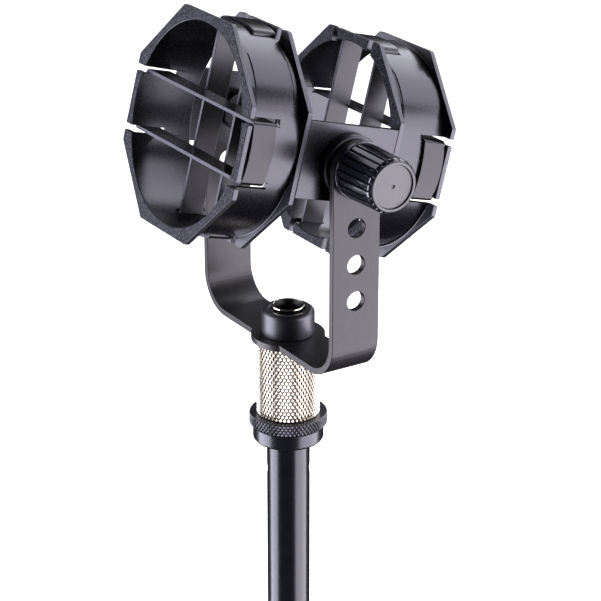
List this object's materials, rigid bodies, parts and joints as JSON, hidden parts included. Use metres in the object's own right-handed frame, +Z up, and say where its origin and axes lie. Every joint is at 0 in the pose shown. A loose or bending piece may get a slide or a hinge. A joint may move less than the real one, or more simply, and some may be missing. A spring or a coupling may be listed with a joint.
{
  "type": "microphone shock mount",
  "caption": "Microphone shock mount: elastic-band cradle with octagonal-flanged rings, held in a U-shaped yoke by a fluted knob, on a knurled swivel adapter and a short stand tube.",
  "frame": {"origin": "centre of the stand tube's plain lower end", "axes": "+Z up the stand tube, which is also the axis of the adapter; +X along the microphone's axis, level, away from its front; +Y along the tilt axis, away from the hand knob"},
  "size_m": [0.107, 0.1201, 0.2721],
  "materials": {
    "stand_black": "gloss black enamel",
    "knurled_black": "satin black, fine knurl",
    "nickel": "nickel plate, open diamond knurl",
    "nylon": "natural",
    "spring_steel": "plain",
    "cap_black": "satin black",
    "yoke_coat": "fine textured powder coat",
    "moulding": "fine spark-eroded grain",
    "band_rubber": "matte",
    "brass": "turned",
    "spacer_black": "satin",
    "zinc_steel": "zinc plate",
    "knob_black": "polished flutes",
    "knob_face": "satin grey",
    "screw_black": "black oxide"
  },
  "bodies": {
    "stand": {"stand_tube": "stand_black", "stand_stud": "stand_black"},
    "lock_ring": {"lock_ring": "knurled_black"},
    "adapter": {"adapter_barrel": "nickel", "lower_washer": "nylon", "swivel_spring": "spring_steel", "swivel_cap": "cap_black"},
    "yoke": {"yoke": "yoke_coat", "knob_washer": "zinc_steel", "pivot_washer": "zinc_steel"},
    "cradle": {"front_ring": "moulding", "rear_ring": "moulding", "right_side_plate": "moulding", "left_side_plate": "moulding", "front_outer_band": "band_rubber", "front_inner_band": "band_rubber", "rear_inner_band": "band_rubber", "rear_outer_band": "band_rubber", "right_insert": "brass", "left_insert": "brass", "right_spacer": "spacer_black", "left_spacer": "spacer_black", "pivot_screw": "screw_black"},
    "knob": {"pivot_knob": "knob_black", "knob_cap": "knob_face", "knob_screw": "zinc_steel"}
  },
  "joints": [
    {"name": "lock_ring_turn", "type": "hinge", "parent": "stand", "child": "lock_ring", "pos_m": [0, 0, 0.10735], "axis": [0, 0, 1], "continuous": true},
    {"name": "barrel_turn", "type": "hinge", "parent": "stand", "child": "adapter", "pos_m": [0, 0, 0.125], "axis": [0, 0, 1], "continuous": true},
    {"name": "yoke_swivel", "type": "hinge", "parent": "adapter", "child": "yoke", "pos_m": [0, 0, 0.14167], "axis": [0, 0, 1], "continuous": true},
    {"name": "cradle_tilt", "type": "hinge", "parent": "yoke", "child": "cradle", "pos_m": [0, 0, 0.2219], "axis": [0, 1, 0], "continuous": true},
    {"name": "knob_turn", "type": "hinge", "parent": "cradle", "child": "knob", "pos_m": [0, -0.055, 0.2219], "axis": [0, -1, 0], "continuous": true}
  ]
}
